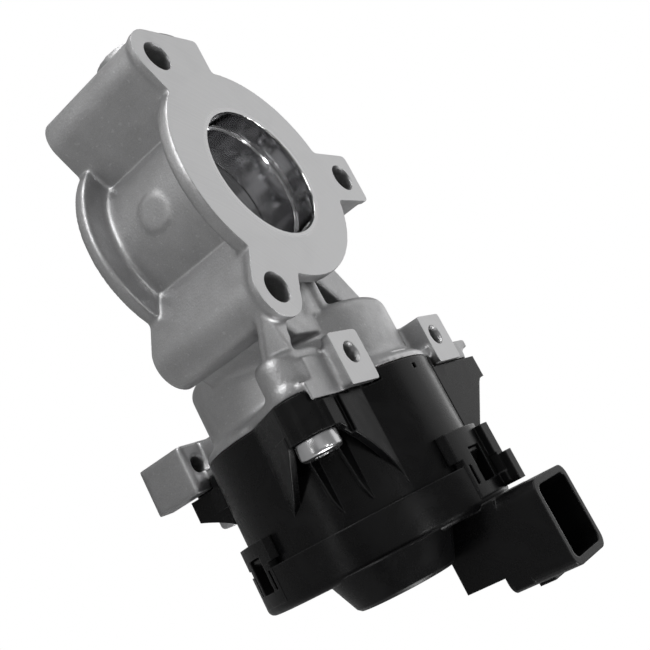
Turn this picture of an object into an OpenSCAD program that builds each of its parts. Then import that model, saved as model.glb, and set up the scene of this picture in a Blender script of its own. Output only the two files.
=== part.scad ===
/* [Gas passage] */
// Diameter of the gas bore at the front flange
bore_d = 40; // [39:0.5:42]
// Length of the gas tube from front face to rear face
body_len = 41; // [40:0.5:46]
// Outer diameter of the gas tube
tube_d = 52; // [51:0.5:54]
// Diameter of the round flange discs
flange_d = 68; // [66:0.5:70]
// Thickness of each flange disc
flange_t = 4.2; // [3.6:0.1:5]
// Inner diameter of the steel bore sleeve
sleeve_id = 39; // [38.6:0.1:39.6]
// Wall of the steel bore sleeve
sleeve_wall = 1.5; // [1.3:0.1:1.8]
// Depth of the step where the sleeve starts
sleeve_top = 7.2; // [6:0.1:8]
// Length of the bore sleeve
sleeve_len = 28; // [26:0.5:29]

/* [Flange bolts] */
// Bolt circle diameter of the flange
flange_pcd = 83.6; // [83:0.2:85]
// Diameter of the flange bolt holes
bolt_hole_d = 9; // [8.4:0.1:9.5]
// Radius of the rounded ears round the bolt holes
ear_r = 8.8; // [8.4:0.1:9.4]
// Step of the columns behind the edge of the ears
ear_lip = 0.6; // [0.4:0.1:0.8]
// Height of the ear edge in front of the columns
ear_edge = 2.2; // [1.6:0.1:2.6]
// Outer end of the square rear ear
ear_end_y = 50; // [49.6:0.1:51]

/* [Shaft] */
// Diameter of the valve shaft
shaft_d = 8; // [7.6:0.1:8.2]
// Running clearance of the shaft in its bushes, radial
shaft_run = 0.03; // [0.02:0.01:0.05]
// Diameter of the round boss that closes the shaft bore
shaft_boss_d = 27.6; // [26:0.2:29]
// Position of the end of that boss
shaft_boss_x = -53.5; // [-55:0.5:-52]
// Outer diameter of the shaft bushes
bush_od = 12; // [11.6:0.1:12.6]
// Length of each shaft bush
bush_len = 16; // [14:0.5:17]
// Clearance between the flap and the sleeve, radial
flap_gap = 0.3; // [0.25:0.05:0.4]
// Thickness of the flap
flap_t = 2.4; // [2:0.1:2.6]

/* [Actuator] */
// Sideways position of the actuator axis
act_y = 20; // [19.6:0.2:20.4]
// Height of the actuator axis
act_z = -33.8; // [-34.2:0.2:-33.6]
// Radius of the aluminium bowl
bowl_r = 32.4; // [32:0.1:32.8]
// Left end of the aluminium bowl
bowl_x = 39.8; // [39.4:0.2:40.4]
// Plane where the plastic case meets the bowl
joint_x = 63; // [62.6:0.1:63.4]
// Outer radius of the plastic gear case
case_r = 36.2; // [36:0.1:36.5]
// Wall of the gear case
case_wall = 2.4; // [2:0.1:2.6]
// Right end of the gear case
case_end_x = 106; // [105.5:0.5:106.5]
// Left face of the wall that carries the gears
web_x = 80; // [79:0.5:81]
// Thickness of the wall that carries the gears
web_t = 3; // [2.6:0.1:3.2]
// Radius of the circle through the three case screws
screw_r = 45.6; // [45:0.2:46.2]
// Length of the screw ears along the actuator axis
ear_len = 10.6; // [10.2:0.2:11]
// Diameter of the case screw heads
head_d = 12; // [11:0.2:12.6]
// Height of the case screw heads
head_h = 5; // [4.6:0.1:5.4]
// Thread diameter of the case screws
screw_d = 5; // [4.6:0.2:5.4]

/* [Lugs] */
// Diameter of the holes in the three lugs
lug_hole_d = 5.5; // [5:0.1:6]
// Position of the lug holes along the shaft direction
lug_x = 57.2; // [56.6:0.2:58]
// Height of the face of the lower lug
lug3_z = -76.5; // [-77:0.5:-76]
// Depth of the holes in the two upper lugs
lug_hole_depth = 11; // [9:0.5:11]
// Thickness of the upper lug plates
lug_t = 3.2; // [2.8:0.2:3.6]

/* [End cover] */
// Wall of the cover skirt
skirt_wall = 2.5; // [2.3:0.1:2.8]
// Gap between the skirt and the gear case
skirt_gap = 0.3; // [0.2:0.05:0.4]
// Wall of the cover face
face_wall = 2; // [1.8:0.1:2.2]
// Left edge of the cover skirt
skirt_x = 97; // [96.5:0.5:97.5]
// Face of the cover rim
rim_x = 109; // [108.5:0.5:110]
// Outer face of the cover dome
dome_x = 117.8; // [117.4:0.2:118.4]
// Radius of the foot of the sensor dome
dome_r = 18.6; // [18:0.2:19.4]
// Width of the top snap loop
clip_w = 21.2; // [20:0.4:22.4]
// How far the snap loops stand over the skirt
clip_rise = 0.4; // [0.3:0.1:0.6]

/* [Plug socket] */
// Left side of the plug socket
plug_x = 108; // [107.5:0.5:108.5]
// Length of the plug socket along the shaft direction
plug_l = 24.5; // [24:0.5:25.5]
// Front side of the plug socket
plug_y = 12; // [11.5:0.5:12.5]
// Width of the plug socket
plug_w = 23; // [22:0.5:24]
// Height of the mouth of the plug socket
plug_z = 20; // [19:0.5:21]
// Wall of the plug socket
plug_wall = 2; // [1.8:0.1:2.2]
// Depth of the plug socket
plug_depth = 16; // [15:0.5:17]
// Number of contact pins
pin_n = 5; // [4:1:5]

/* [Gears and spring] */
// Travel of the flap in degrees
travel = 90; // [80:1:90]
// Radius of the spring wire
wire_r = 0.8; // [0.7:0.05:0.85]
// Mean radius of the spring coil
coil_r = 7; // [6.8:0.1:7.1]
// Turns of the spring
coil_turns = 4; // [3:1:4]

/* [Hidden] */
$fn = 64;
eps = 0.01;

bore_r = bore_d / 2;
tube_r = tube_d / 2;
flange_r = flange_d / 2;
sleeve_ir = sleeve_id / 2;
sleeve_or = sleeve_ir + sleeve_wall;
// The outlet mouth is this much wider than the seat of the sleeve
outlet_step = 0.3;
outlet_len = body_len - sleeve_top - sleeve_len - 0.2;
axis_z = -body_len / 2;
shaft_r = shaft_d / 2;
bush_r = bush_od / 2;
boss_r = shaft_boss_d / 2;
flap_r = sleeve_ir - flap_gap;
hole_r = flange_pcd / 2;
ear_a = [hole_r * cos(210), hole_r * sin(210)];
ear_b = [hole_r * cos(330), hole_r * sin(330)];
ear_c = [0, hole_r];
col_r = ear_r - ear_lip;
plug_r = 9;

// Three case screws on one circle round the actuator axis, in the order front, rear, lower
screw_drop = 0.8;
SCREWS = [for (a = [150, 30, 270]) [act_y + screw_r * cos(a), act_z - screw_drop + screw_r * sin(a)]];
boss_screw_r = 6.8;
boss_run = 9;
lobe_r = 7.2;
ear_top_z = -4.2;
ear_groove_y = -15;
boss_screw_x = [50.6, 50.6, 56];
// Three snap loops of the cover: angle, left edge and width. The top one is the long one.
cover_r = case_r + skirt_gap + skirt_wall;
clip_x = 87;
CLIPS = [[87.3, clip_x, clip_w], [206.7, clip_x + 2, clip_w - 4.2], [326.7, clip_x + 2, clip_w - 4.2]];
clip_r = cover_r + clip_rise;
window_x = 92.8;
window_l = 10.2;
window_w = 7.4;
// Places of the shallow slots along both edges of the straps
slot_a = 10;
SLOTS = [for (c = CLIPS) each [c[0] - slot_a * c[2] / clip_w, c[0] + slot_a * c[2] / clip_w]];

// Gear train, seen along the shaft: angles count from +Y to +Z
mod_out = 0.8;
z_out = 36;
mod_in = 0.6;
z_big = 45;
z_small = 12;
mesh_a = -30;
out_pr = mod_out * z_out / 2;
small_pr = mod_out * z_small / 2;
big_pr = mod_in * z_big / 2;
pin_pr = mod_in * z_small / 2;
dist_out = out_pr + small_pr;
dist_in = big_pr + pin_pr;
mid_y = dist_out * cos(mesh_a);
mid_z = axis_z + dist_out * sin(mesh_a);
motor_y = mid_y;
motor_z = mid_z - dist_in;
motor_r = 12.4;
motor_x0 = bowl_x + 11.7;
gear_x0 = web_x + web_t + 1.2;
big_w = 3.6;
out_x0 = gear_x0 + big_w + 1.4;
out_w = 5;
// The hub keeps clear of the case wall, and the magnet keeps a wall in the hub
hub_room = 1.2;
hub_r = case_r - case_wall - norm([act_y, act_z - axis_z]) - hub_room;
magnet_r = hub_r - 3.6;
magnet_t = 2.4;
rotor_shaft_r = 1.25;
comm_x = motor_x0 + 18.4;
comm_r = 3.4;
board_x = out_x0 + out_w + 5.4;
board_t = 1.6;
mid_pin_r = 2;
motor_screw_r = 8.5;
motor_screw_d = 2.4;
motor_head_d = 4.2;
motor_screw_at = [for (a = [30, 210]) [motor_screw_r * cos(a), motor_screw_r * sin(a)]];
flap_screw_x = 9;
flap_screw_d = 3.2;
comm_l = 3.4;
rotor_r = 7.8;
rotor_l = 13;

// Return spring between its seat in the bowl and its lever on the shaft
seat_x = 53.6;
seat_r = 8;
coil_pitch = 2.4;
coil_x = seat_x + 0.2;
lever_x = coil_x + coil_pitch * coil_turns;
relief_r = coil_r + wire_r + 0.6;

module along(x0, x1, y, z, r) {
    translate([x0, y, z])
        rotate([0, 90, 0])
            cylinder(h = x1 - x0, r = r);
}

module cone_x(x0, x1, y, z, r0, r1) {
    translate([x0, y, z])
        rotate([0, 90, 0])
            cylinder(h = x1 - x0, r1 = r0, r2 = r1);
}

module side(x0, x1) {
    translate([x0, 0, 0])
        rotate([90, 0, 90])
            linear_extrude(height = x1 - x0)
                children();
}

module turned_x(x0, y, z) {
    translate([x0, y, z])
        rotate([0, 90, 0])
            rotate_extrude($fn = 96)
                children();
}

module hole_z(p, z1, depth, r) {
    translate([p[0], p[1], z1 - depth])
        cylinder(h = depth + 1, r = r);
}

module chamfer_z(p, z1, r, c) {
    translate([p[0], p[1], z1 - c])
        cylinder(h = c + eps, r1 = r, r2 = r + c);
}

function arc(cx, cy, r, a0, a1, n) =
    [for (i = [0 : n]) [cx + r * cos(a0 + (a1 - a0) * i / n), cy + r * sin(a0 + (a1 - a0) * i / n)]];

function round_box(y0, z0, y1, z1, r) = concat(
    arc(y1 - r, z1 - r, r, 0, 90, 5), arc(y0 + r, z1 - r, r, 90, 180, 5),
    arc(y0 + r, z0 + r, r, 180, 270, 5), arc(y1 - r, z0 + r, r, 270, 360, 5));

// Flange disc with a small rounded edge, as turned or cast
module disc(z0, t, r, e) {
    translate([0, 0, z0])
        rotate_extrude($fn = 120)
            polygon(concat([[0, 0]], arc(r - e, e, e, -90, 0, 4), arc(r - e, t - e, e, 0, 90, 4), [[0, t]]));
}

module ear_a_plan(r) {
    translate(ear_a)
        circle(r = r);
    polygon([[ear_a[0] - r, ear_a[1]], [ear_a[0] - r, 0.4], [-18, 0.4], [-18, -19.5],
        [ear_a[0] + r * 0.52, ear_a[1] - r * 0.853]]);
}

module ear_b_plan(r) {
    translate(ear_b)
        circle(r = r);
    polygon([[ear_b[0] - r * 0.52, ear_b[1] - r * 0.853], [ear_b[0] + r * 0.62, ear_b[1] + r * 0.78],
        [tube_r - 2, -4], [16.4, -19.4]]);
}

module ear_c_plan(r) {
    w = r - 0.2;
    polygon(concat([[w, 12]], arc(w - 1.5, ear_end_y - 1.5, 1.5, 0, 90, 4),
        arc(1.5 - w, ear_end_y - 1.5, 1.5, 90, 180, 4), [[-w, 12]]));
}

module column_plan() {
    ear_a_plan(col_r);
    ear_b_plan(col_r);
    ear_c_plan(col_r);
}

module ear_plan() {
    ear_a_plan(ear_r);
    ear_b_plan(ear_r);
    ear_c_plan(ear_r);
}

// Turned outer form of the bowl: rounded floor edge, plain wall, flared rim
module bowl_form() {
    q = 3.6;
    turned_x(0, act_y, act_z)
        polygon(concat([[0, bowl_x]],
            arc(bowl_r - q, bowl_x + q, q, -90, 0, 8),
            [[bowl_r, joint_x - 5.5], [bowl_r + 0.8, joint_x - 4], [case_r - 0.8, joint_x - 2.4],
             [case_r, joint_x - 1.6], [case_r, joint_x], [0, joint_x]]));
}

module bowl_hollow() {
    q = 5;
    r = bowl_r - 2.8;
    x0 = bowl_x + 3.5;
    turned_x(0, act_y, act_z)
        polygon(concat([[0, x0]], arc(r - q, x0 + q, q, -90, 0, 6), [[r, joint_x + 1], [0, joint_x + 1]]));
}

module tube_and_flanges() {
    translate([0, 0, -body_len])
        cylinder(h = body_len, r = tube_r, $fn = 120);
    disc(-flange_t, flange_t, flange_r, 0.6);
    disc(-body_len, flange_t, flange_r, 0.8);
    // Fillets where the tube runs into the flanges
    for (s = [0, 1])
        translate([0, 0, s == 0 ? -body_len + flange_t - eps : -flange_t + eps])
            mirror([0, 0, s])
                rotate_extrude($fn = 120)
                    polygon([[tube_r - 1, 0], [tube_r + 1.2, 0], [tube_r + 0.4, 0.4], [tube_r, 1.2],
                        [tube_r - 1, 1.2]]);
    translate([0, 0, -body_len])
        linear_extrude(height = body_len)
            column_plan();
    translate([0, 0, -ear_edge])
        linear_extrude(height = ear_edge)
            ear_plan();
    // Round ejector mark on the front of the tube
    translate([0.4, -tube_r + 0.6, axis_z - 0.2])
        rotate([90, 0, 0])
            cylinder(h = 0.85, r = 5.2);
}

module shaft_bosses() {
    along(shaft_boss_x, 0, 0, axis_z, boss_r);
    along(0, bowl_x + 2, 0, axis_z, boss_r);
    along(bowl_x + 1, bowl_x + 6.5, 0, axis_z, bush_r + 3);
}

// Ribs and webs that tie the bowl to the gas tube
module tie_webs() {
    translate([18, 5.5, -body_len + 3])
        cube([bowl_x - 15, 3.6, body_len - 10.4]);
    translate([30, 5, -8])
        cube([bowl_x - 28, 3, 1.6]);
    // Sloping rear wall between the tube and the back of the bowl
    translate([0, 0, -body_len + 3])
        linear_extrude(height = body_len - 17)
            polygon([[10, 20], [10, 26], [40, 44], [46, 44], [46, 38], [24, 18]]);
    // Wall between the front column and the bowl
    translate([0, 0, -body_len + 0.6])
        linear_extrude(height = body_len - 8)
            polygon([[30, -20], [43.4, -15], [47, -11], [47, 0], [30, 0]]);
    // Sloping web from the front column to the front screw boss
    front_web();
}

module front_web() {
    t = 1.6;
    hull()
        for (p = [[38.2, -28, -3.1], [43.6, -19, -4.3], [50.6, -20, -5.3], [50.4, -26, -9.8]])
            translate([p[0], p[1], p[2] - t])
                cube([1, 1, t]);
}

module screw_boss(i, y, z) {
    translate([0, y, z])
        rotate([0, 90, 0])
            rotate_extrude($fn = 36)
                polygon(concat([[0, boss_screw_x[i]]],
                    arc(boss_screw_r - 3, boss_screw_x[i] + 3, 3, -90, 0, 5),
                    [[boss_screw_r, joint_x], [0, joint_x]]));
}

module screw_bosses() {
    // The two upper bosses run on towards the bowl
    for (i = [0, 1])
        hull()
            for (d = [0, boss_run])
                screw_boss(i, SCREWS[i][0] + (i == 0 ? d : -d), SCREWS[i][1]);
    screw_boss(2, SCREWS[2][0], SCREWS[2][1]);
    // Walls that carry the bosses on the bowl
    side(boss_screw_x[0] + 3, joint_x)
        boss_walls();
    side(joint_x - 3, joint_x)
        lobe_walls();
}

// Flat outline that joins the three screw lobes to the round case
module lobe_walls() {
    r = lobe_r;
    f = SCREWS[0];
    b = SCREWS[1];
    l = SCREWS[2];
    polygon(concat([[-0.8, ear_top_z], [f[0], ear_top_z]], arc(f[0], f[1], r, 100, 212, 10),
        [[-16.2, -31.4], [-6, -40], [10, -20]]));
    polygon(concat([[act_y + 17, ear_top_z + 2.6], [b[0] + 6, ear_top_z + 2.6]],
        arc(b[0], b[1], r, 20, -32, 6),
        [[56.2, -31.4], [46, -40], [30, -20]]));
    polygon(concat([[act_y - r - 4, act_z - 28]], arc(l[0], l[1], r + 1.6, 180, 360, 16),
        [[act_y + r + 4, act_z - 28]]));
}

// Narrow walls behind the screw bosses of the casting
module boss_walls() {
    f = SCREWS[0];
    b = SCREWS[1];
    polygon([[-6, ear_top_z - 0.6], [f[0] - 2, ear_top_z - 0.8], [f[0] - 3.4, f[1] - 5], [-10, -24],
        [2, -20]]);
    polygon([[46, ear_top_z + 0.7], [b[0] + 1, ear_top_z + 0.5], [b[0] + 3.4, ear_top_z - 2],
        [b[0] + 3.4, b[1] - 5], [50, -24], [38, -20]]);
}

module lugs() {
    // Front lug plate with its shelf
    translate([50.8, -10.2, -lug_t])
        cube([15.2, 14, lug_t]);
    translate([53, -10.2, -14])
        cube([joint_x - 53, 14, 13]);
    translate([54.5, -20.6, -6])
        cube([joint_x - 54.5, 14, 2.2]);
    translate([joint_x - 2.2, -24.4, -6])
        cube([2.2, 18, 2.2]);
    translate([joint_x - 1, -24.4, -4.6])
        cube([4, 16, 0.8]);
    // Rear lug block
    side(50.6, 66)
        polygon([[40.2, -4], [40.2, 0], [53.8, 0], [54.6, -1.4], [54.6, -4]]);
    side(62, 66)
        polygon([[54, -4], [54, -2], [61.6, -2], [63.8, -3.4], [63.8, -4]]);
    side(50.6, joint_x)
        polygon([[38, -14], [40.2, -6.4], [40.2, -2], [54.6, -2], [54.6, -14], [50, -20], [46, -24]]);
    side(61.4, joint_x)
        polygon([[50, -2.6], [63.8, -2.6], [63.8, -14], [56, -20], [50, -20]]);
    // Lower lug block on its pillar
    side(50, joint_x)
        polygon([[5.6, lug3_z - 20.4], [4.6, lug3_z - 19.4], [4.6, lug3_z - 1], [5.6, lug3_z], [22, lug3_z],
            [26, lug3_z - 6], [26, lug3_z - 20.4]]);
    side(joint_x - 1, joint_x + 3)
        polygon([[5.6, lug3_z - 20.4], [4.6, lug3_z - 19.4], [4.6, lug3_z - 1], [5.6, lug3_z], [12, lug3_z],
            [12, lug3_z - 20.4]]);
    side(51, joint_x)
        polygon([[13.5, act_z - 24], [13.5, lug3_z - 2], [26, lug3_z - 2], [28, act_z - 24]]);
}

module valve_housing() {
    color([0.72, 0.73, 0.74])
        difference() {
            union() {
                tube_and_flanges();
                shaft_bosses();
                tie_webs();
                bowl_form();
                screw_bosses();
                lugs();
            }
            // Gas bore with the counterbore for the sleeve
            translate([0, 0, -body_len - 1])
                cylinder(h = body_len + 2, r = bore_r, $fn = 120);
            translate([0, 0, -body_len - 1])
                cylinder(h = body_len + 1 - sleeve_top, r = sleeve_or, $fn = 120);
            translate([0, 0, -body_len - 1])
                cylinder(h = outlet_len + 1, r = sleeve_or + outlet_step, $fn = 120);
            translate([0, 0, -0.6])
                cylinder(h = 0.6 + eps, r1 = bore_r, r2 = bore_r + 0.6, $fn = 120);
            // Through holes of the flange
            for (p = [ear_a, ear_b, ear_c]) {
                hole_z(p, 0, body_len + 1, bolt_hole_d / 2);
                chamfer_z(p, 0, bolt_hole_d / 2, 0.5);
            }
            // Lug holes
            for (p = [[lug_x, -3.3], [lug_x, 46]]) {
                hole_z(p, 0, lug_hole_depth, lug_hole_d / 2);
                chamfer_z(p, 0, lug_hole_d / 2, 1);
            }
            hole_z([lug_x, 10], lug3_z, 21, lug_hole_d / 2);
            // Bore of the shaft, its bushes, its seal and its plug
            along(shaft_boss_x + 4, -sleeve_or + 2, 0, axis_z, bush_r);
            along(shaft_boss_x - 1, shaft_boss_x + 4 + eps, 0, axis_z, plug_r + 0.02);
            along(sleeve_or - 2, seat_x + 1, 0, axis_z, bush_r);
            bowl_hollow_with_boss();
            along(seat_x, joint_x + 1, 0, axis_z, relief_r);
            // Groove of the seal in the mating face
            seal_ring(case_r - 2, case_r - 0.8, joint_x - 1.1, joint_x + 1);
            // Threaded holes of the case screws
            for (p = SCREWS)
                along(joint_x - 10, joint_x + 1, p[0], p[1], screw_d / 2);
        }
}

module bowl_hollow_with_boss() {
    difference() {
        bowl_hollow();
        along(bowl_x, bowl_x + 6.5, 0, axis_z, bush_r + 3);
        along(bowl_x, seat_x, 0, axis_z, seat_r);
    }
}

module bore_sleeve() {
    color([0.80, 0.81, 0.83])
        translate([0, 0, -sleeve_top - sleeve_len])
            difference() {
                cylinder(h = sleeve_len, r = sleeve_or, $fn = 120);
                translate([0, 0, -1])
                    cylinder(h = sleeve_len + 2, r = sleeve_ir, $fn = 120);
                translate([0, 0, sleeve_len - 0.5])
                    cylinder(h = 0.5 + eps, r1 = sleeve_ir, r2 = sleeve_ir + 0.5, $fn = 120);
                translate([0, 0, axis_z + sleeve_top + sleeve_len])
                    along(-sleeve_or - 1, sleeve_or + 1, 0, 0, shaft_r + 0.5);
            }
}

module valve_flap() {
    color([0.62, 0.63, 0.64])
        translate([0, 0, axis_z])
            difference() {
                translate([0, 0, -flap_t / 2])
                    cylinder(h = flap_t, r = flap_r, $fn = 120);
                for (s = [-1, 1])
                    translate([s * flap_screw_x, 0, -flap_t])
                        cylinder(h = 2 * flap_t, r = flap_screw_d / 2);
            }
}

module valve_shaft() {
    x0 = -sleeve_or - bush_len - 3;
    x1 = out_x0 + out_w + 1;
    color([0.66, 0.67, 0.69])
        difference() {
            union() {
                along(x0, x1, 0, axis_z, shaft_r);
                cone_x(x0 - 0.8, x0, 0, axis_z, shaft_r - 0.8, shaft_r);
            }
            // Slot that takes the flap
            translate([-flap_r, -shaft_r - 1, axis_z - flap_t / 2])
                cube([2 * flap_r, 2 * shaft_r + 2, flap_t]);
            for (s = [-1, 1])
                translate([s * flap_screw_x, 0, axis_z - shaft_r - 1]) {
                    cylinder(h = 2 * shaft_r + 2, r = flap_screw_d / 2);
                    translate([0, 0, 2 * shaft_r + 0.7])
                        cylinder(h = 2, r = 2.9);
                }
            // Flat for the gear hub
            translate([out_x0, shaft_r - 1, axis_z - shaft_r])
                cube([out_w + 2, 2, 2 * shaft_r]);
        }
}

module flap_screws() {
    color([0.50, 0.51, 0.53])
        for (s = [-1, 1])
            translate([s * flap_screw_x, 0, axis_z])
                difference() {
                    union() {
                        translate([0, 0, -shaft_r - 0.4])
                            cylinder(h = 2 * shaft_r + 0.6, r = flap_screw_d / 2);
                        translate([0, 0, shaft_r - 0.3])
                            cylinder(h = 1.7, r1 = 2.7, r2 = 2.2);
                    }
                    translate([0, 0, shaft_r + 0.5])
                        cylinder(h = 2, r = 1.1, $fn = 6);
                }
}

module bush(x0) {
    color([0.60, 0.48, 0.30])
        difference() {
            along(x0, x0 + bush_len, 0, axis_z, bush_r);
            along(x0 - 1, x0 + bush_len + 1, 0, axis_z, shaft_r + shaft_run);
        }
}

module bush_left() {
    bush(-sleeve_or - 2 - bush_len);
}

module bush_right() {
    bush(sleeve_or + 2);
}

module shaft_seal() {
    x0 = sleeve_or + 2 + bush_len + 0.4;
    color([0.12, 0.12, 0.13])
        turned_x(x0, 0, axis_z)
            polygon([[shaft_r + 0.05, 1.6], [shaft_r + 0.05, 2.0], [bush_r - 1.2, 3.2], [bush_r - 0.02, 4],
                [bush_r - 0.02, 0], [shaft_r + 1.2, 0]]);
}

module shaft_plug() {
    color([0.66, 0.67, 0.68])
        turned_x(shaft_boss_x + 0.6, 0, axis_z)
            polygon([[0, 1.2], [6, 1.2], [7.4, 0], [plug_r, 0], [plug_r, 3], [0, 3]]);
}

// Torsion spring: a true helix, drawn as a twisted slice of the wire
function wire_slice(n) =
    let (m = 360 * wire_r / coil_pitch)
    concat(
        [for (i = [0 : n]) let (a = -m + 2 * m * i / n, h = wire_r * sqrt(max(0, 1 - pow(a / m, 2))))
            [(coil_r + h) * cos(a), (coil_r + h) * sin(a)]],
        [for (i = [1 : n - 1]) let (a = m - 2 * m * i / n, h = wire_r * sqrt(max(0, 1 - pow(a / m, 2))))
            [(coil_r - h) * cos(a), (coil_r - h) * sin(a)]]);

module return_spring() {
    color([0.45, 0.46, 0.48])
        translate([coil_x, 0, axis_z])
            rotate([0, 90, 0])
                linear_extrude(height = lever_x - coil_x, twist = -360 * coil_turns,
                    slices = 16 * coil_turns, $fn = 16)
                    polygon(wire_slice(6));
}

module spring_lever() {
    guide_r = coil_r - wire_r - 0.3;
    plate_t = 1.6;
    reach = coil_r + 3;
    color([0.55, 0.56, 0.57])
        difference() {
            union() {
                along(coil_x, lever_x + 1, 0, axis_z, guide_r);
                along(lever_x, lever_x + plate_t, 0, axis_z, coil_r);
                side(lever_x, lever_x + plate_t)
                    translate([-3, axis_z - reach])
                        square([6, reach - 3]);
            }
            along(coil_x - 1, lever_x + plate_t + 1, 0, axis_z, shaft_r);
        }
}

// Involute teeth
function inv(a) = tan(a) * 180 / PI - a;

function tooth_half(r, rp, rb, z, slack) =
    90 / z - slack / rp * 90 / PI + inv(20) - (r > rb ? inv(acos(rb / r)) : 0);

function gear_pts(m, z, add, ded, slack, phase) =
    let (rp = m * z / 2, rb = rp * cos(20), ra = rp + add, rr = rp - ded,
        rs = [rr, max(rb, rr + 0.02), rp * 0.5 + max(rb, rr + 0.02) * 0.5, rp, (rp + ra) / 2, ra])
    [for (i = [0 : z - 1]) let (c = phase + 360 * i / z)
        each concat(
            [for (k = [0 : 5])
                let (a = c - tooth_half(rs[k], rp, rb, z, slack)) [rs[k] * cos(a), rs[k] * sin(a)]],
            [for (k = [5 : -1 : 0])
                let (a = c + tooth_half(rs[k], rp, rb, z, slack)) [rs[k] * cos(a), rs[k] * sin(a)]])];

// End of the shaft with its flat, as bore of the gear hub
module shaft_end() {
    difference() {
        along(out_x0 - 1, out_x0 + out_w + 1, 0, axis_z, shaft_r);
        translate([out_x0, shaft_r - 1, axis_z - shaft_r])
            cube([out_w + 2, 2, 2 * shaft_r]);
    }
}

module output_gear() {
    a0 = mesh_a - travel - 12;
    a1 = mesh_a + 12;
    rr = out_pr + 3;
    color([0.86, 0.84, 0.76])
        difference() {
            union() {
                translate([0, 0, axis_z])
                    side(out_x0, out_x0 + out_w)
                        intersection() {
                            polygon(gear_pts(mod_out, z_out, 0.75 * mod_out, 1.2 * mod_out, 0.08,
                                mesh_a + 180 / z_out));
                            polygon(concat([[0, 0]], arc(0, 0, rr, a0, a1, 24)));
                        }
                along(out_x0, out_x0 + out_w + 3.5, 0, axis_z, hub_r);
            }
            shaft_end();
            along(out_x0 + out_w + 1.1, out_x0 + out_w + 5, 0, axis_z, magnet_r);
            // Lightening pockets in the sector
            for (a = [mesh_a - travel, mesh_a - travel / 2, mesh_a])
                along(out_x0 + 1.6, out_x0 + out_w + 1, 10.9 * cos(a), axis_z + 10.9 * sin(a), 1.4);
        }
}

module position_magnet() {
    color([0.25, 0.25, 0.27])
        along(out_x0 + out_w + 1.1, out_x0 + out_w + 1.1 + magnet_t, 0, axis_z, magnet_r);
}

module intermediate_gear() {
    x1 = out_x0 + out_w;
    color([0.88, 0.87, 0.80])
        difference() {
            union() {
                translate([0, mid_y, mid_z])
                    side(gear_x0, gear_x0 + big_w)
                        polygon(gear_pts(mod_in, z_big, 0.75 * mod_in, 1.2 * mod_in, 0.08,
                            -90 + 180 / z_big));
                translate([0, mid_y, mid_z])
                    side(gear_x0 + big_w - eps, x1)
                        polygon(gear_pts(mod_out, z_small, mod_out, 1.2 * mod_out, 0.08, mesh_a + 180));
            }
            along(gear_x0 - 1, x1 + 1, mid_y, mid_z, mid_pin_r + 0.04);
        }
}

module gear_pin() {
    color([0.70, 0.71, 0.73])
        along(web_x + 0.4, out_x0 + out_w + 1.6, mid_y, mid_z, mid_pin_r);
}

module motor_can() {
    color([0.55, 0.56, 0.58])
        difference() {
            turned_x(0, motor_y, motor_z)
                polygon([[0, motor_x0], [4.6, motor_x0], [4.6, motor_x0 + 1.6],
                    [motor_r - 1.6, motor_x0 + 1.6], [motor_r, motor_x0 + 3.2], [motor_r, web_x - 2.4],
                    [0, web_x - 2.4]]);
            along(motor_x0 + 3, web_x, motor_y, motor_z, motor_r - 1);
            along(motor_x0 + 0.8, web_x, motor_y, motor_z, rotor_shaft_r + shaft_run);
        }
}

module motor_cap() {
    color([0.16, 0.16, 0.17])
        difference() {
            union() {
                along(web_x - 2.4, web_x, motor_y, motor_z, motor_r);
                along(web_x - 4.6, web_x - 2.4, motor_y, motor_z, motor_r - 1.05);
                // Holders of the two brushes
                for (s = [-1, 1])
                    translate([comm_x + 0.2, motor_y + s * 7.4 - 2.6, motor_z - 2.2])
                        cube([web_x - 4 - comm_x, 5.2, 4.4]);
            }
            brush_boxes();
            along(web_x - 6, web_x + 1, motor_y, motor_z, rotor_shaft_r + shaft_run);
            for (q = motor_screw_at)
                along(web_x - 3.4, web_x + 1, motor_y + q[0], motor_z + q[1], motor_screw_d / 2);
        }
}

module brush_boxes() {
    for (s = [-1, 1])
        translate([comm_x + 0.6, motor_y + s * (comm_r + 3.1) - 2.7, motor_z - 1.2])
            cube([2.6, 5.4, 2.4]);
}

module motor_brushes() {
    color([0.20, 0.19, 0.19])
        brush_boxes();
}

module motor_shaft() {
    color([0.75, 0.76, 0.78])
        along(motor_x0 + 1, gear_x0 + big_w + 0.8, motor_y, motor_z, rotor_shaft_r);
}

module motor_rotor() {
    x0 = motor_x0 + 5;
    color([0.42, 0.40, 0.38])
        difference() {
            along(x0, x0 + rotor_l, motor_y, motor_z, rotor_r);
            along(x0 - 1, x0 + rotor_l + 1, motor_y, motor_z, rotor_shaft_r);
            for (i = [0 : 4])
                translate([x0 - 1, motor_y, motor_z])
                    rotate([72 * i, 0, 0])
                        translate([0, -0.7, 3.6])
                            cube([rotor_l + 2, 1.4, 6]);
        }
}

module commutator() {
    color([0.72, 0.45, 0.25])
        difference() {
            along(comm_x, comm_x + comm_l, motor_y, motor_z, comm_r);
            along(comm_x - 1, comm_x + comm_l + 1, motor_y, motor_z, rotor_shaft_r);
        }
}

module motor_magnets() {
    x0 = motor_x0 + 4;
    color([0.22, 0.22, 0.23])
        difference() {
            along(x0, x0 + rotor_l + 2, motor_y, motor_z, motor_r - 1);
            along(x0 - 1, x0 + rotor_l + 3, motor_y, motor_z, rotor_r + 0.5);
            translate([x0 - 1, motor_y - motor_r - 1, motor_z - 2.5])
                cube([rotor_l + 4, 2 * motor_r + 2, 5]);
        }
}

module motor_pinion() {
    color([0.80, 0.72, 0.45])
        difference() {
            translate([0, motor_y, motor_z])
                side(gear_x0 - 0.4, gear_x0 + big_w + 0.4)
                    polygon(gear_pts(mod_in, z_small, mod_in, 1.2 * mod_in, 0.08, 90));
            along(gear_x0 - 2, gear_x0 + big_w + 2, motor_y, motor_z, rotor_shaft_r);
        }
}

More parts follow.
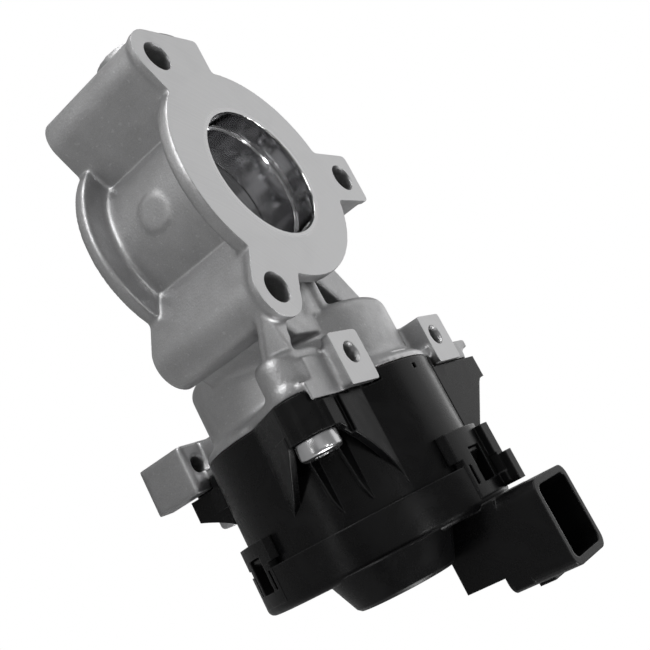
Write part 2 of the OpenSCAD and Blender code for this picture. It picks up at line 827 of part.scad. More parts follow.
module motor_screws() {
    color([0.70, 0.71, 0.72])
        for (q = motor_screw_at)
            translate([0, q[0], q[1]]) {
                along(web_x - 3.2, web_x + web_t - 1.6 + eps, motor_y, motor_z, motor_screw_d / 2);
                difference() {
                    along(web_x + web_t - 1.6, web_x + web_t, motor_y, motor_z, motor_head_d / 2);
                    along(web_x + web_t - 0.8, web_x + web_t + 1, motor_y, motor_z, 0.9);
                }
            }
}

// Plate beside a screw pocket: full width at the ear, then a hollow curve that runs out on the case
function fin_curve(x0, x1, h, hollow, n) =
    [for (i = [n : -1 : 0]) let (t = i / n) [x0 + (x1 - x0) * t, h * pow(1 - t, hollow)]];

module fin(x0, x1, h, t, hollow = 2.1, back = 3) {
    linear_extrude(height = t)
        polygon(concat([[x0 - back, 0], [x0 - back, -4], [x1, -4], [x1, 0]], fin_curve(x0, x1, h, hollow, 12),
            [[x0 - back, h]]));
}

module fin_straight(x0, x1, h, t) {
    linear_extrude(height = t)
        polygon([[x0 - 3, -3], [x1, -3], [x1, 0], [x0, h], [x0 - 3, h]]);
}

module pocket_fins() {
    zt = ear_top_z - 2.2;
    x0 = joint_x + ear_len;
    rib_t = 1;
    // Upper plate of the front pocket
    translate([0, -0.8, zt])
        mirror([0, 1, 0])
            fin(x0, x0 + 23, 16.4, 2.2);
    // Lower plate of the front pocket, laid against the slope of the case
    translate([0, -16.2, -31.4])
        rotate([-58, 0, 0])
            mirror([0, 1, 0])
                fin_straight(x0, x0 + 15, 17.4, 2);
    // Two tapered ribs on the floor of the front pocket
    for (z = [-12.3, -19.6])
        translate([0, act_y - sqrt(case_r * case_r - pow(z - act_z, 2)), z])
            mirror([0, 1, 0])
                linear_extrude(height = rib_t)
                    polygon([[x0 - 2, -4], [x0 - 2, 4.4], [x0 + 15.4, 1.8], [x0 + 20, -0.3], [x0 + 20, -4]]);
    // Rear pocket plates, the upper one with a straight slope down to the case
    translate([0, 41, ear_top_z + 0.6])
        linear_extrude(height = 2)
            polygon([[x0 - 3, -4], [x0 + 19.2, -4], [x0 + 18.2, 0.6], [x0 + 1.6, 19.6], [x0 + 0.4, 21.4],
                [x0, 24], [x0 - 3, 24]]);
    translate([0, 56.2, -31.4])
        rotate([58, 0, 0])
            fin_straight(x0, x0 + 13, 17.4, 2);
    // Lower pocket plates
    for (s = [-1, 1])
        translate([0, act_y + s * (lobe_r + 0.7) - 1, act_z - 34])
            rotate([-90, 0, 0])
                fin(x0, x0 + 14.4, 19.7, 2, 2.1, 7);
}

module case_outer() {
    along(joint_x, case_end_x, act_y, act_z, case_r);
    side(joint_x, joint_x + ear_len)
        lobe_walls();
    pocket_fins();
    // Snap ramps under the loops of the cover
    for (c = CLIPS)
        at_angle(c[0])
            snap_ramp();
}

// Turns a piece drawn on the top of the case to the given angle round the case
module at_angle(a) {
    translate([0, act_y, act_z])
        rotate([a - 90, 0, 0])
            children();
}

module snap_ramp() {
    w = window_w - 1.4;
    x0 = window_x + 0.4;
    translate([0, w / 2, 0])
        rotate([90, 0, 0])
            linear_extrude(height = w)
                polygon([[x0, case_r - 1.2], [x0, case_r + 2.4], [x0 + 0.8, case_r + 2.4],
                    [x0 + 5, case_r - 0.4], [x0 + 5, case_r - 1.2]]);
}

// Post that the output gear rests on when the flap is closed
module stop_post() {
    r = 12;
    post_r = 2;
    a = mesh_a - travel - 12 - asin((post_r + 0.05) / r);
    along(web_x + web_t - eps, out_x0 + out_w, r * cos(a), axis_z + r * sin(a), post_r);
}

module gear_case() {
    color([0.10, 0.10, 0.11])
        case_body();
    color([0.10, 0.10, 0.11])
        stop_post();
}

module case_body() {
    difference() {
        case_outer();
        // Hollow on both sides of the wall that carries the gears
        along(joint_x - 1, web_x, act_y, act_z, case_r - case_wall);
        along(web_x + web_t, case_end_x + 1, act_y, act_z, case_r - case_wall);
        // Room for the lug tongues of the casting
        translate([joint_x - 1, -12, -lug_t - 0.6])
            cube([4.4, 17.5, 20]);
        translate([joint_x - 1, -24.8, -5])
            cube([4.4, 18, 20]);
        translate([joint_x - 1, 38, -4.3])
            cube([4.4, 30, 20]);
        translate([joint_x - 1, 4, lug3_z - 21])
            cube([4.4, 8.4, 21.4]);
        // Openings in the carrying wall
        along(web_x - 1, web_x + web_t + 1, 0, axis_z, shaft_r + 0.5);
        along(web_x - 1, web_x + web_t + 1, motor_y, motor_z, pin_pr + mod_in + 0.6);
        along(web_x + 0.4, web_x + web_t + 1, mid_y, mid_z, mid_pin_r);
        for (q = motor_screw_at) {
            along(web_x - 1, web_x + web_t + 1, motor_y + q[0], motor_z + q[1], motor_screw_d / 2);
            along(web_x + web_t - 1.6, web_x + web_t + 1, motor_y + q[0], motor_z + q[1], motor_head_d / 2);
        }
        // Holes for the limiter sleeves and room for the screw heads
        for (p = SCREWS) {
            along(joint_x - 1, joint_x + ear_len + 1, p[0], p[1], 4);
            along(joint_x + ear_len, joint_x + ear_len + head_h + 1, p[0], p[1], head_d / 2 + 0.3);
        }
        // Groove of the cover seal
        seal_ring(case_r - 0.9, case_r + 1, case_end_x - 2.2, case_end_x - 0.8);
        // Small drain pit on the top of the case
        translate([joint_x + 1.9, act_y - 1.3, act_z + case_r - 1.4])
            cube([1.6, 1.8, 3]);
        // Shallow groove across the top of the front ear
        translate([joint_x + 3, ear_groove_y, ear_top_z - 1.2])
            cube([ear_len, 3, 4]);
    }
}

module seal_ring(r0, r1, x0, x1) {
    turned_x(0, act_y, act_z)
        polygon([[r0, x0], [r1, x0], [r1, x1], [r0, x1]]);
}

module case_seal() {
    color([0.30, 0.18, 0.14])
        seal_ring(case_r - 2, case_r - 0.8, joint_x - 1.1, joint_x);
}

module limiter_sleeves() {
    color([0.75, 0.76, 0.78])
        for (p = SCREWS)
            difference() {
                along(joint_x, joint_x + ear_len, p[0], p[1], 4);
                along(joint_x - 1, joint_x + ear_len + 1, p[0], p[1], screw_d / 2 + 0.3);
            }
}

module case_screws() {
    x0 = joint_x + ear_len;
    color([0.80, 0.81, 0.82])
        for (p = SCREWS)
            difference() {
                union() {
                    along(joint_x - 9, x0 + 1, p[0], p[1], screw_d / 2);
                    turned_x(x0, p[0], p[1])
                        polygon([[0, 0], [head_d / 2 - 0.2, 0], [head_d / 2, 0.3], [head_d / 2, head_h - 1.3],
                            [head_d / 2 - 1.3, head_h], [0, head_h]]);
                }
                star_socket(x0 + head_h - 2.4, p);
            }
}

module star_socket(x0, p) {
    side(x0, x0 + 4)
        translate(p) {
            circle(r = 1.9);
            for (i = [0 : 2])
                rotate(60 * i)
                    square([5, 1.2], center = true);
        }
}

// Stepped body of the cover below the plug socket
module cover_steps() {
    translate([plug_x, plug_y, -12.5])
        cube([plug_l - 5, plug_w, 20]);
    translate([plug_x, plug_y, 1])
        cube([plug_l - 1, plug_w, 6]);
}

module plug_plan(inset) {
    r = 3.4 - inset * 0.6;
    polygon(round_box(plug_x + inset, plug_y + inset, plug_x + plug_l - inset, plug_y + plug_w - inset, r));
}

module snap_loops() {
    for (c = CLIPS) {
        w = c[2] / 2;
        end_x = rim_x - 2.4;
        at_angle(c[0])
            intersection() {
                turned_x(0, 0, 0)
                    polygon([[case_r - 1, c[1]], [clip_r, c[1]], [clip_r, end_x], [case_r - 1, end_x]]);
                // Broad foot round the window, narrower strap up to the rim
                union() {
                    translate([c[1], -w, 20])
                        cube([clip_x + 8.2 - c[1], 2 * w, 40]);
                    translate([c[1], 2 - w, 20])
                        cube([rim_x - 2 - c[1], 2 * w - 4, 40]);
                }
            }
    }
}

// Raised guard on the rear end of the top loop
module loop_guard() {
    translate([clip_x + 1.4, 29, 0])
        cube([rim_x - clip_x - 4.4, 4.4, 6.8]);
    translate([98, 29.4, 0])
        cube([rim_x - 100.2, 3.6, 9.6]);
}

module end_cover() {
    color([0.09, 0.09, 0.10])
        cover_shell();
    color([0.09, 0.09, 0.10])
        board_posts();
}

module cover_shell() {
    difference() {
        union() {
            turned_x(0, act_y, act_z)
                polygon(concat([[0, skirt_x], [cover_r, skirt_x]],
                    arc(cover_r - 2, rim_x - 2, 2, 0, 90, 5), [[0, rim_x]]));
            turned_x(0, 0, axis_z)
                polygon([[0, rim_x - 1], [dome_r, rim_x - 1], [dome_r - 4, dome_x - 0.8],
                    [dome_r - 5, dome_x], [0, dome_x]]);
            snap_loops();
            loop_guard();
            cover_steps();
            linear_extrude(height = plug_z)
                plug_plan(0);
            // Small latch tab on the outer side of the socket
            translate([plug_x + plug_l - 1, plug_y + 8, 4])
                cube([2.4, 7, 5]);
        }
        // Room for the gear case and for the wheels
        turned_x(0, act_y, act_z)
            polygon([[0, clip_x - 1], [case_r + skirt_gap, clip_x - 1],
                [case_r + skirt_gap, case_end_x + 0.3], [case_r - case_wall, case_end_x + 0.3],
                [case_r - case_wall - 0.6, rim_x - face_wall], [0, rim_x - face_wall]]);
        // Room inside the sensor dome, narrow where it meets the face and wider outside
        turned_x(0, 0, axis_z)
            polygon([[0, rim_x - 3], [dome_r - 6.6, rim_x - 3], [dome_r - 6.6, rim_x - 0.6],
                [dome_r - 3.5, rim_x + 0.4], [dome_r - 6, dome_x - 2.4], [0, dome_x - 2.4]]);
        // Windows over the snap ramps
        for (c = CLIPS)
            at_angle(c[0])
                translate([window_x, -window_w / 2, 20])
                    cube([window_l, window_w, 40]);
        // Shallow slots along the straps
        for (a = SLOTS)
            at_angle(a)
                translate([skirt_x + 0.3, -0.6, clip_r - 1.2])
                    cube([5.6, 1.2, 4]);
        // Socket for the plug
        translate([0, 0, plug_z - plug_depth])
            linear_extrude(height = plug_depth + 1)
                plug_plan(plug_wall);
        pin_bars();
    }
}

// Contact pins: upright in the socket, then bent to the board
module pin_bars() {
    w = 0.8;
    y = plug_y + plug_w / 2 - w / 2;
    pitch = (plug_l - 10) / (pin_n - 1);
    for (i = [0 : pin_n - 1]) {
        x = plug_x + 5 + i * pitch - w / 2;
        z = -3 - 1.7 * i;
        translate([x, y, z])
            cube([w, w, plug_z - 5 - z]);
        translate([board_x, y, z])
            cube([x + w - board_x, w, w]);
    }
}

// Posts on the inside of the cover that carry the board
module board_posts() {
    for (p = [[-3, -24, dome_x - 1.5], [7, -24, dome_x - 1.5], [17, -8, rim_x - 1]])
        along(board_x + board_t, p[2], p[0], p[1], 1.8);
}

module cover_seal() {
    color([0.28, 0.16, 0.12])
        seal_ring(case_r - 0.9, case_r + 0.3, case_end_x - 2.1, case_end_x - 0.9);
}

module sensor_board() {
    color([0.10, 0.32, 0.18])
        difference() {
            side(board_x, board_x + board_t)
                intersection() {
                    polygon([[-6, -27], [10, -27], [14, -16], [26, -13], [26, -3], [14, -3], [6, -9],
                        [-6, -14]]);
                    // The edge keeps clear of the case wall
                    translate([act_y, act_z])
                        circle(r = case_r - case_wall - 1.5);
                }
            pin_bars();
        }
}

module connector_pins() {
    color([0.78, 0.68, 0.36])
        pin_bars();
}

valve_housing();
bore_sleeve();
valve_flap();
valve_shaft();
flap_screws();
bush_left();
bush_right();
shaft_seal();
shaft_plug();
return_spring();
spring_lever();
output_gear();
position_magnet();
intermediate_gear();
gear_pin();
motor_can();
motor_cap();
motor_shaft();
motor_rotor();
commutator();
motor_brushes();
motor_magnets();
motor_pinion();
motor_screws();
gear_case();
case_seal();
limiter_sleeves();
case_screws();
end_cover();
cover_seal();
sensor_board();
connector_pins();
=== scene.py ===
"""EGR valve: finishes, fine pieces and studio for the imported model.

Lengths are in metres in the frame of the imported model: +Z leaves the front flange along the gas bore,
+X runs along the valve shaft from its closed boss to the black cover.
"""
import math

import bmesh
import bpy
import numpy as np
from bpy.props import FloatProperty, FloatVectorProperty, IntProperty, PointerProperty
from bpy.types import Operator, Panel, PropertyGroup
from mathutils import Matrix, Vector


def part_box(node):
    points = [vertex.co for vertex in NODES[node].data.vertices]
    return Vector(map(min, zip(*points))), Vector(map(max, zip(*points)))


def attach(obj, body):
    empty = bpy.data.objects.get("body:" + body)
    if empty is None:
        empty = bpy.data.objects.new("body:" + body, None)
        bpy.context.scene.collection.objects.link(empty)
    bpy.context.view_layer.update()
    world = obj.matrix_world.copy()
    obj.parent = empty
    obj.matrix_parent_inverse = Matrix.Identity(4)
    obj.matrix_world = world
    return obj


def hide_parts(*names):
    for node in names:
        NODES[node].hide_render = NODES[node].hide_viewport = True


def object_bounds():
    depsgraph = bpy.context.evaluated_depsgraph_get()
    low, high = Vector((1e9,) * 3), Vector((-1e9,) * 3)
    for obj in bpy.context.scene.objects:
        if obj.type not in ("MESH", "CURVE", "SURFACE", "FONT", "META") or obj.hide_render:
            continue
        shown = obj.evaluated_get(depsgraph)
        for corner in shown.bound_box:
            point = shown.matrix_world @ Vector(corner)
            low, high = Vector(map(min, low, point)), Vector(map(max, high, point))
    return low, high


bl_info = {
    "name": "EGR valve",
    "version": (1, 0, 0),
    "blender": (4, 5, 0),
    "location": "3D View > Sidebar > EGR valve",
    "description": "Finishes, fine pieces and studio of an electric EGR valve",
    "category": "Object",
}

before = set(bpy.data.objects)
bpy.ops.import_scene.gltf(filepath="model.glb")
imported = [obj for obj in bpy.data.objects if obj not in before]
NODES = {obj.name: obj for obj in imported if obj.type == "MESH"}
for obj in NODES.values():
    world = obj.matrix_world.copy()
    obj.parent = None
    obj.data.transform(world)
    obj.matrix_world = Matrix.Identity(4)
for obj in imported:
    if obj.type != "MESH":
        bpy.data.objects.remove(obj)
CAD_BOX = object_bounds()
MM = 0.001

# Places that the source also names, in millimetres
# Height of the shaft's axis
SHAFT_Z = -20.5
# Axes of the case screws as (y, z), and the plane that their heads sit on
CASE_SCREWS = [(-19.492, -11.8), (59.492, -11.8), (20.0, -80.2)]
HEAD_X = 73.6
# Plane where the gear case meets the casting
JOINT_X = 63.0
# Heights of the rear flange face and of the lower lug's face
REAR_Z = -41.0
LUG_Z = -76.5
# Radius of the sleeve's seat in the casting
SEAT_R = 21.3
# Milled faces of the casting: height, side that is open, and boxes (low, high) that they fill
MILLED = [(0.0, 1, [((-60, -60), (60, 60)), ((50, -60), (70, 5)), ((50, 35), (70, 70))]),
          (REAR_Z, -1, [((-60, -60), (38.5, 60)), ((38.5, -60), (60, -15.8))])]
# Most triangles that the cast shape may have
CAST_TRIANGLES = 190000
# Share of the way to its neighbours' mean that a point of the cast shape goes in one round
CAST_STEP = 0.6
# Colours of the painted highlights along edges
EDGE_HIGHLIGHT_CASTING = (0.80, 0.80, 0.81, 1.0)
EDGE_HIGHLIGHT_PLASTIC = (0.04, 0.04, 0.041, 1.0)
EDGE_HIGHLIGHT_STEEL = (0.9, 0.9, 0.91, 1.0)
WHITE = (1.0, 1.0, 1.0, 1.0)
# Factors that leave out the part of a place along the bore or along the shaft
FLAT_Z = (1.0, 1.0, 0.0)
FLAT_X = (0.0, 1.0, 1.0)
# Centre of the cutter's marks on the milled faces, in metres
CUTTER_CENTRE = (0.08, -0.06, 0.0)
# Case screws, in millimetres: head's height, radius, rounding of its crown and radii of its star recess,
# shank's radius, its depth in the casting, height of its thread and length of its tapered tip
HEAD_HEIGHT = 5.0
HEAD_R = 6.0
HEAD_ROUND = 1.3
STAR_R = 2.1
STAR_MOUTH_R = 2.4
SHANK_R = 2.5
SHANK_DEPTH = 9.0
THREAD_HEIGHT = 0.42
TIP = 1.6
# Turns of the return spring
SPRING_TURNS = 4
# Camera of the photo in metres: its place, its directions, its focal length and picture width in pixels
CAMERA_PLACE = Vector((0.102069, -0.224340, 0.130958))
CAMERA_RIGHT = Vector((0.45510882, 0.54245856, 0.70612652))
CAMERA_DOWN = Vector((0.86587897, -0.08465414, -0.49303883))
CAMERA_AHEAD = Vector((-0.2076766, 0.83580643, -0.50823031))
FOCAL = 986.69
PICTURE_WIDTH = 650.0
SENSOR_WIDTH = 36.0
# Point that the lamps are aimed at
MIDDLE = Vector((0.035, 0.005, -0.035))
# Way in which the camera's line leaves the front face when it is mirrored there
FACE_MIRROR = Vector((-0.2076766, 0.83580643, 0.50823031))
# Floor: half its side, its distance under the object, and its grey for light that falls on it
FLOOR_HALF = 1.5
FLOOR_GAP = 0.0005
FLOOR_GREY = 0.48


# Settings
class CastingFinish(PropertyGroup):
    """Finish of the aluminium casting."""
    colour: FloatVectorProperty(name="Cast colour", description="Colour of the cast skin",
                                subtype="COLOR", default=(0.56, 0.56, 0.565))
    machined: FloatVectorProperty(name="Machined colour", description="Colour of the milled faces",
                                  subtype="COLOR", default=(0.66, 0.66, 0.665))
    grain: FloatProperty(name="Grain", description="Size of one grain of the cast skin",
                         default=0.0006, unit="LENGTH")
    rounding: FloatProperty(name="Rounding", description="Radius of the soft edges and fillets",
                            default=0.0006, unit="LENGTH")
    cell: FloatProperty(name="Cell", description="Size of the cells that the cast shape is made of",
                        default=0.00055, unit="LENGTH")
    rounds: IntProperty(name="Rounds", description="How often the cast shape is evened out", default=4)


class PlasticFinish(PropertyGroup):
    """Finish of the black plastic shell."""
    colour: FloatVectorProperty(name="Plastic colour", description="Colour of the black shell",
                                subtype="COLOR", default=(0.0045, 0.0045, 0.0048))
    roughness: FloatProperty(name="Roughness", description="Roughness of the moulded skin",
                             default=0.25, subtype="FACTOR")
    rounding: FloatProperty(name="Rounding", description="Radius of the moulded edges",
                            default=0.0006, unit="LENGTH")


class SteelFinish(PropertyGroup):
    """Finish of the steel pieces."""
    colour: FloatVectorProperty(name="Steel colour", description="Colour of the bright steel",
                                subtype="COLOR", default=(0.70, 0.70, 0.71))
    roughness: FloatProperty(name="Roughness", description="Roughness of turned steel",
                             default=0.24, subtype="FACTOR")


class FinePieces(PropertyGroup):
    """Sizes of the fine pieces."""
    thread_pitch: FloatProperty(name="Thread pitch", description="Pitch of the case screws",
                                default=0.0018, unit="LENGTH")
    recess: FloatProperty(name="Star recess", description="Depth of the star drive",
                          default=0.0024, unit="LENGTH")
    wire: FloatProperty(name="Spring wire", description="Radius of the spring wire",
                        default=0.0008, unit="LENGTH")


class Studio(PropertyGroup):
    """Light and floor."""
    key: FloatProperty(name="Key light", description="Power of the large panel over the faces", default=1.22,
                       unit="POWER")
    side: FloatProperty(name="Side light", description="Power of the light on the cover's side", default=3.13,
                        unit="POWER")
    ambient: FloatProperty(name="Ambient", description="Brightness of the room", default=0.132)


# Node helpers
def put(tree, kind, settings=None, **inputs):
    """Adds one node. A named input takes a value or, where it is a socket, a link. i0 and i1 name inputs by
    their number."""
    node = tree.nodes.new(kind)
    for key, value in (settings or {}).items():
        setattr(node, key, value)
    for key, value in inputs.items():
        where = int(key[1:]) if key[0] == "i" and key[1:].isdigit() else key.replace("_", " ")
        socket = node.inputs[where]
        if isinstance(value, bpy.types.NodeSocket):
            tree.links.new(value, socket)
        else:
            socket.default_value = value
    return node


def maths(tree, operation, a, b=0.0):
    """One step of arithmetic on values."""
    return put(tree, "ShaderNodeMath", {"operation": operation}, i0=a, i1=b).outputs[0]


def blend_colour(tree, factor, a, b):
    """Mixes two colours."""
    return put(tree, "ShaderNodeMix", {"data_type": "RGBA"}, i0=factor, i6=a, i7=b).outputs[2]


def blend_value(tree, factor, a, b):
    """Mixes two values."""
    return maths(tree, "ADD", maths(tree, "MULTIPLY", b, factor),
                 maths(tree, "MULTIPLY", a, maths(tree, "SUBTRACT", 1.0, factor)))


def ramp(tree, value, low, high, to_low=0.0, to_high=1.0):
    """Smooth step of a value between low and high."""
    return put(tree, "ShaderNodeMapRange", {"interpolation_type": "SMOOTHSTEP"}, Value=value, From_Min=low,
               From_Max=high, To_Min=to_low, To_Max=to_high).outputs[0]


def new_group(name, ins, outs):
    """An empty node group with its sockets; returns the group, its input node and its output node."""
    group = bpy.data.node_groups.new(name, "ShaderNodeTree")
    for label, kind, value in ins:
        socket = group.interface.new_socket(name=label, in_out="INPUT", socket_type=kind)
        if value is not None:
            socket.default_value = value
    for label, kind in outs:
        group.interface.new_socket(name=label, in_out="OUTPUT", socket_type=kind)
    return group, group.nodes.new("NodeGroupInput"), group.nodes.new("NodeGroupOutput")


def ramp_mm(tree, value, low, high):
    """Smooth step of a length between two places in millimetres."""
    return ramp(tree, value, low * MM, high * MM)


def vector_step(tree, operation, a, b=(0.0, 0.0, 0.0)):
    """One step of arithmetic on vectors; returns its node, whose outputs are Vector and Value."""
    return put(tree, "ShaderNodeVectorMath", {"operation": operation}, i0=a, i1=b)


def use_group(tree, group, **inputs):
    """Places a node group in a material with its own values."""
    return put(tree, "ShaderNodeGroup", {"node_tree": group}, **inputs)


def soft_edges():
    """Shared effect: normals rounded over every edge and corner, and a mask of where they turn."""
    group, start, end = new_group("Soft edges", [("Radius", "NodeSocketFloat", 0.0005)],
                                  [("Normal", "NodeSocketVector"), ("Edge", "NodeSocketFloat")])
    bevel = put(group, "ShaderNodeBevel", {"samples": 8}, Radius=start.outputs["Radius"])
    flat = group.nodes.new("ShaderNodeNewGeometry")
    cosine = vector_step(group, "DOT_PRODUCT", bevel.outputs[0], flat.outputs["Normal"])
    group.links.new(bevel.outputs[0], end.inputs["Normal"])
    group.links.new(ramp(group, cosine.outputs["Value"], 0.998, 0.86), end.inputs["Edge"])
    return group


def cast_skin():
    """Shared effect: pebbled skin of a die casting with broad flow marks."""
    group, start, end = new_group(
        "Cast skin", [("Vector", "NodeSocketVector", None), ("Grain", "NodeSocketFloat", 0.0006)],
        [("Tone", "NodeSocketFloat"), ("Height", "NodeSocketFloat"), ("Flow", "NodeSocketFloat")])
    vector = start.outputs["Vector"]
    per_grain = maths(group, "DIVIDE", 1.0, start.outputs["Grain"])
    fine = put(group, "ShaderNodeTexNoise", Vector=vector, Scale=per_grain, Detail=3.0, Roughness=0.55)
    cells = put(group, "ShaderNodeTexVoronoi", {"feature": "SMOOTH_F1"}, Vector=vector,
                Scale=maths(group, "MULTIPLY", per_grain, 0.8), Smoothness=0.6)
    broad = put(group, "ShaderNodeTexNoise", Vector=vector, Scale=95.0, Detail=4.0, Roughness=0.6,
                Distortion=0.6)
    streak = put(group, "ShaderNodeMapping", Vector=vector, Scale=(260.0, 260.0, 40.0))
    flow = put(group, "ShaderNodeTexNoise", Vector=streak.outputs[0], Scale=1.0, Detail=3.0, Roughness=0.65)
    height = maths(group, "ADD", maths(group, "MULTIPLY", fine.outputs[0], 0.7),
                   maths(group, "MULTIPLY", cells.outputs["Distance"], 0.5))
    group.links.new(height, end.inputs["Height"])
    dots = put(group, "ShaderNodeTexNoise", Vector=vector, Detail=1.0,
               Scale=maths(group, "MULTIPLY", per_grain, 2.4))
    tone = maths(group, "ADD", maths(group, "MULTIPLY", ramp(group, broad.outputs[0], 0.3, 0.7), 0.45),
                 maths(group, "MULTIPLY", ramp(group, dots.outputs[0], 0.3, 0.7), 0.55))
    group.links.new(tone, end.inputs["Tone"])
    group.links.new(ramp(group, flow.outputs[0], 0.42, 0.7), end.inputs["Flow"])
    return group


def tool_marks():
    """Shared effect: fine cuts of a milling or turning tool, as rings round the origin of the vector."""
    group, start, end = new_group(
        "Tool marks", [("Vector", "NodeSocketVector", None), ("Pitch", "NodeSocketFloat", 0.0002)],
        [("Cut", "NodeSocketFloat")])
    radius = vector_step(group, "LENGTH", start.outputs["Vector"]).outputs["Value"]
    turns = maths(group, "DIVIDE", radius, start.outputs["Pitch"])
    uneven = put(group, "ShaderNodeTexNoise", {"noise_dimensions": "1D"}, Scale=1.0, Detail=2.0,
                 W=maths(group, "MULTIPLY", turns, 0.35))
    group.links.new(uneven.outputs[0], end.inputs["Cut"])
    return group


def handling_wear():
    """Shared effect: faint smears and specks from handling."""
    group, start, end = new_group("Handling wear", [("Vector", "NodeSocketVector", None)],
                                  [("Smear", "NodeSocketFloat"), ("Speck", "NodeSocketFloat")])
    smear = put(group, "ShaderNodeTexNoise", Vector=start.outputs["Vector"], Scale=70.0, Detail=5.0,
                Roughness=0.62, Distortion=1.2)
    speck = put(group, "ShaderNodeTexNoise", Vector=start.outputs["Vector"], Scale=900.0, Detail=1.0)
    group.links.new(ramp(group, smear.outputs[0], 0.42, 0.72), end.inputs["Smear"])
    group.links.new(ramp(group, speck.outputs[0], 0.66, 0.74), end.inputs["Speck"])
    return group


def new_material(name):
    """A material with an empty tree, its shader and its object coordinates."""
    material = bpy.data.materials.new(name)
    material.use_nodes = True
    tree = material.node_tree
    tree.nodes.clear()
    shader = tree.nodes.new("ShaderNodeBsdfPrincipled")
    out = tree.nodes.new("ShaderNodeOutputMaterial")
    tree.links.new(shader.outputs[0], out.inputs["Surface"])
    place = tree.nodes.new("ShaderNodeTexCoord").outputs["Object"]
    return material, tree, shader, place


def colour(value):
    """Colour of three numbers with full alpha."""
    return (value[0], value[1], value[2], 1.0)


def toned(tree, tone, shade):
    """A colour times a shade that changes over the surface."""
    scaled = put(tree, "ShaderNodeVectorMath", {"operation": "SCALE"}, i0=tuple(tone[:3]), Scale=shade)
    return scaled.outputs[0]


def raised(tree, shader, height, edges, strength, distance):
    """Bump of a height over the softened edges."""
    bump = put(tree, "ShaderNodeBump", Strength=strength, Distance=distance, Height=height,
               Normal=edges.outputs["Normal"])
    tree.links.new(bump.outputs[0], shader.inputs["Normal"])


def shared(name, maker):
    """A node group, built once."""
    return bpy.data.node_groups.get(name) or maker()


def paint(node_names, material):
    """Gives CAD nodes a material in place of their own."""
    for name in node_names:
        mesh = NODES[name].data
        mesh.materials.clear()
        mesh.materials.append(material)


# Mesh helpers
def rings_to_mesh(name, rings):
    """Skin over rings: rings is an array of n rings with m points each. Neighbouring rings are joined by
    quads, each ring closes on itself, and the first and last ring close on their mean point."""
    rings = np.asarray(rings, float)
    n, m = rings.shape[:2]
    i = np.arange(n - 1)[:, None] * m
    j = np.arange(m)[None, :]
    after = (j + 1) % m
    quads = np.stack([i + j, i + after, i + m + after, i + m + j], -1).reshape(-1, 4)
    around, onward = j[0], after[0]
    last = (n - 1) * m
    first_cap = np.stack([np.full(m, n * m), onward, around], -1)
    last_cap = np.stack([np.full(m, n * m + 1), last + around, last + onward], -1)
    points = np.vstack([rings.reshape(-1, 3), rings[0].mean(0), rings[-1].mean(0)])
    mesh = bpy.data.meshes.new(name)
    mesh.from_pydata(points.tolist(), [], quads.tolist() + first_cap.tolist() + last_cap.tolist())
    mesh.update()
    return mesh


def evened(points, edges, strength, rounds):
    """Moves each point towards the mean of its neighbours, by a share of the way, for a number of rounds."""
    count = len(points)
    ends = np.concatenate([edges, edges[:, ::-1]])
    share = strength / np.maximum(np.bincount(ends[:, 0], minlength=count), 1)
    for _ in range(rounds):
        total = np.stack([np.bincount(ends[:, 0], points[ends[:, 1], k] - points[ends[:, 0], k], count)
                          for k in range(3)], -1)
        points = points + share[:, None] * total
    return points


def through_modifier(mesh, kind, **settings):
    """The mesh that one modifier makes of the given mesh, which is then removed."""
    holder = bpy.data.objects.new("holder", mesh)
    bpy.context.scene.collection.objects.link(holder)
    modifier = holder.modifiers.new("step", kind)
    for key, value in settings.items():
        setattr(modifier, key, value)
    depsgraph = bpy.context.evaluated_depsgraph_get()
    made = bpy.data.meshes.new_from_object(holder.evaluated_get(depsgraph))
    bpy.data.objects.remove(holder)
    bpy.data.meshes.remove(mesh)
    return made


def get_points(mesh):
    """The mesh's points as an array of rows."""
    points = np.empty(len(mesh.vertices) * 3)
    mesh.vertices.foreach_get("co", points)
    return points.reshape(-1, 3)


def cast_mesh(node, cell, rounds):
    """A CAD node's shape with cast edges and fillets. Its milled faces are carried outwards, the whole is
    made of small cells, each point goes to the mean of its neighbours a number of times, and what stands
    over a milled face is pressed back into its plane, which leaves a crisp edge."""
    work = bmesh.new()
    work.from_mesh(NODES[node].data)
    bmesh.ops.remove_doubles(work, verts=work.verts, dist=0.000001)
    mesh = bpy.data.meshes.new("cast")
    work.to_mesh(mesh)
    work.free()
    over = 3 * cell
    points = get_points(mesh)
    for level, side, _ in MILLED:
        points[np.abs(points[:, 2] - level * MM) < 0.01 * MM, 2] += side * over
    mesh.vertices.foreach_set("co", points.ravel())
    mesh = through_modifier(mesh, "REMESH", mode="VOXEL", voxel_size=cell)
    points = get_points(mesh)
    edges = np.empty(len(mesh.edges) * 2, np.int32)
    mesh.edges.foreach_get("vertices", edges)
    points = evened(points, edges.reshape(-1, 2), CAST_STEP, rounds)
    for level, side, boxes in MILLED:
        beyond = (points[:, 2] - level * MM) * side
        pressed = np.zeros(len(points), bool)
        for low, high in boxes:
            flat = points[:, :2] / MM
            pressed |= np.all((flat > low) & (flat < high), axis=1)
        pressed &= (beyond > -0.15 * cell) & (beyond < 1.4 * over)
        points[pressed, 2] = level * MM
    mesh.vertices.foreach_set("co", points.ravel())
    work = bmesh.new()
    work.from_mesh(mesh)
    bmesh.ops.remove_doubles(work, verts=work.verts, dist=0.1 * cell)
    bmesh.ops.dissolve_degenerate(work, edges=work.edges, dist=0.05 * cell)
    work.to_mesh(mesh)
    work.free()
    mesh.update()
    triangles = 2 * len(mesh.polygons)
    return through_modifier(mesh, "DECIMATE", ratio=min(1.0, CAST_TRIANGLES / triangles))


def milled_face(face):
    """True where a face lies in one of the casting's milled planes."""
    height = face.verts[0].co.z
    in_plane = any(abs(height - level * MM) < 0.001 * MM for level, _, _ in MILLED)
    return in_plane and abs(face.normal.z) > 0.9999


